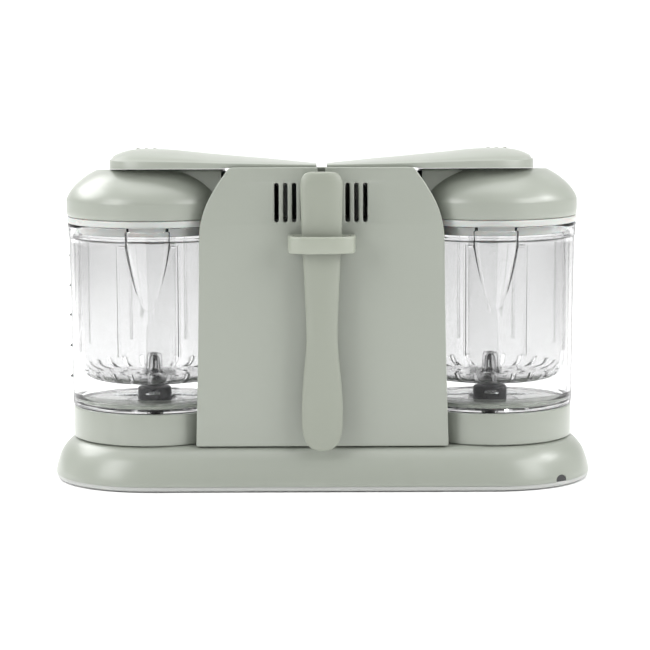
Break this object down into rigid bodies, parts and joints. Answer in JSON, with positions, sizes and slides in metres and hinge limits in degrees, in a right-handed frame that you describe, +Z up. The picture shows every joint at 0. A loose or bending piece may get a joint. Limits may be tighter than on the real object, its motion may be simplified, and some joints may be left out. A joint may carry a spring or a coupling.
{
  "type": "baby food maker",
  "caption": "Countertop baby food maker that steams and blends: clear bowls side by side under hinged domed arms, a vented central column, push buttons and a lift-out spatula.",
  "frame": {"origin": "centre of the footprint on the resting plane, at the underside of the middle foot", "axes": "+X along the row of bowls, +Y towards the user's side with buttons and handles, -Y towards the back with vents and spatula, +Z up"},
  "size_m": [0.3886, 0.1774, 0.2394],
  "materials": {
    "shell_green": "satin sage green moulding",
    "soft_green": "satin, slightly lighter sage",
    "pale_plastic": "satin off-white",
    "clear_plastic": "clear, polished",
    "black_plastic": "satin black",
    "rubber": "matt",
    "cord_rubber": "matt black",
    "silicone": "matt translucent white",
    "steel": "fine brushed",
    "zinc_steel": "zinc-plated",
    "heater_alloy": "dull",
    "bronze": "sintered",
    "board": "matt"
  },
  "bodies": {
    "base": {"base_shell": "shell_green", "bottom_plate": "pale_plastic", "feet": "rubber", "screws": "steel", "column_shell": "shell_green", "rear_panel": "shell_green", "front_panel": "shell_green", "spatula_ring": "soft_green", "chassis": "zinc_steel", "control_board": "board", "button_switches": "black_plastic", "indicator_rings": "pale_plastic", "lid_switches": "black_plastic", "power_cord": "cord_rubber", "seat_rings": "shell_green", "hinge_pins": "steel", "drive_bushes": "bronze", "drive_belts": "cord_rubber", "motors": "zinc_steel", "heaters": "heater_alloy", "boilers": "steel", "boiler_caps": "pale_plastic", "steam_pipes": "silicone"},
    "arm_l": {"arm_cover_l": "shell_green", "arm_dome_l": "shell_green", "steam_gasket_l": "silicone", "lid_l": "pale_plastic", "lid_seal_l": "silicone"},
    "latch_slide_l": {"latch_l": "soft_green"},
    "bowl_set_l": {"bowl_l": "clear_plastic", "basket_l": "clear_plastic"},
    "drive_l": {"blade_hub_l": "black_plastic", "blades_l": "steel", "blade_dog_l": "black_plastic", "drive_dog_l": "black_plastic", "drive_shaft_l": "steel", "drive_pulley_l": "black_plastic"},
    "rotor_l": {"motor_spindle_l": "steel", "motor_pulley_l": "black_plastic"},
    "arm_r": {"arm_cover_r": "shell_green", "arm_dome_r": "shell_green", "steam_gasket_r": "silicone", "lid_r": "pale_plastic", "lid_seal_r": "silicone"},
    "latch_slide_r": {"latch_r": "soft_green"},
    "bowl_set_r": {"bowl_r": "clear_plastic", "basket_r": "clear_plastic"},
    "drive_r": {"blade_hub_r": "black_plastic", "blades_r": "steel", "blade_dog_r": "black_plastic", "drive_dog_r": "black_plastic", "drive_shaft_r": "steel", "drive_pulley_r": "black_plastic"},
    "rotor_r": {"motor_spindle_r": "steel", "motor_pulley_r": "black_plastic"},
    "spatula_tool": {"spatula": "soft_green"},
    "push_a": {"button_a": "soft_green"},
    "push_b": {"button_b": "soft_green"},
    "push_c": {"button_c": "soft_green"},
    "push_d": {"button_d": "soft_green"}
  },
  "joints": [
    {"name": "arm_l_hinge", "type": "hinge", "parent": "base", "child": "arm_l", "pos_m": [-0.007, 0, 0.22161], "axis": [0, 0.9982, -0.0593], "range_deg": [0, 80]},
    {"name": "arm_r_hinge", "type": "hinge", "parent": "base", "child": "arm_r", "pos_m": [0.007, 0, 0.22161], "axis": [0, -0.9982, 0.0593], "range_deg": [0, 80]},
    {"name": "latch_l_slide", "type": "slide", "parent": "arm_l", "child": "latch_slide_l", "axis": [-1, 0, 0], "range_m": [0, 0.004], "stiffness_N_per_m": 150},
    {"name": "latch_r_slide", "type": "slide", "parent": "arm_r", "child": "latch_slide_r", "axis": [1, 0, 0], "range_m": [0, 0.004], "stiffness_N_per_m": 150},
    {"name": "bowl_l_twist", "type": "hinge", "parent": "base", "child": "bowl_set_l", "pos_m": [-0.1222, 0, 0.05], "axis": [0, 0, -1], "range_deg": [0, 16]},
    {"name": "bowl_r_twist", "type": "hinge", "parent": "base", "child": "bowl_set_r", "pos_m": [0.1222, 0, 0.05], "axis": [0, 0, 1], "range_deg": [0, 16]},
    {"name": "drive_l_spin", "type": "hinge", "parent": "base", "child": "drive_l", "pos_m": [-0.1222, 0, 0.03], "axis": [0, 0, 1], "continuous": true},
    {"name": "drive_r_spin", "type": "hinge", "parent": "base", "child": "drive_r", "pos_m": [0.1222, 0, 0.03], "axis": [0, 0, 1], "continuous": true},
    {"name": "rotor_l_spin", "type": "hinge", "parent": "base", "child": "rotor_l", "pos_m": [-0.03, 0, 0.03], "axis": [0, 0, 1], "continuous": true},
    {"name": "rotor_r_spin", "type": "hinge", "parent": "base", "child": "rotor_r", "pos_m": [0.03, 0, 0.03], "axis": [0, 0, 1], "continuous": true},
    {"name": "spatula_lift", "type": "slide", "parent": "base", "child": "spatula_tool", "axis": [0, 0, 1], "range_m": [0, 0.19]},
    {"name": "button_a_press", "type": "slide", "parent": "base", "child": "push_a", "axis": [0, -1, 0], "range_m": [0, 0.002], "stiffness_N_per_m": 600},
    {"name": "button_b_press", "type": "slide", "parent": "base", "child": "push_b", "axis": [0, -1, 0], "range_m": [0, 0.002], "stiffness_N_per_m": 600},
    {"name": "button_c_press", "type": "slide", "parent": "base", "child": "push_c", "axis": [0, -1, 0], "range_m": [0, 0.002], "stiffness_N_per_m": 600},
    {"name": "button_d_press", "type": "slide", "parent": "base", "child": "push_d", "axis": [0, -1, 0], "range_m": [0, 0.002], "stiffness_N_per_m": 600}
  ],
  "couplings": [
    {"joint": "rotor_l_spin", "follows": "drive_l_spin", "ratio": 2.5},
    {"joint": "rotor_r_spin", "follows": "drive_r_spin", "ratio": 2.5}
  ]
}
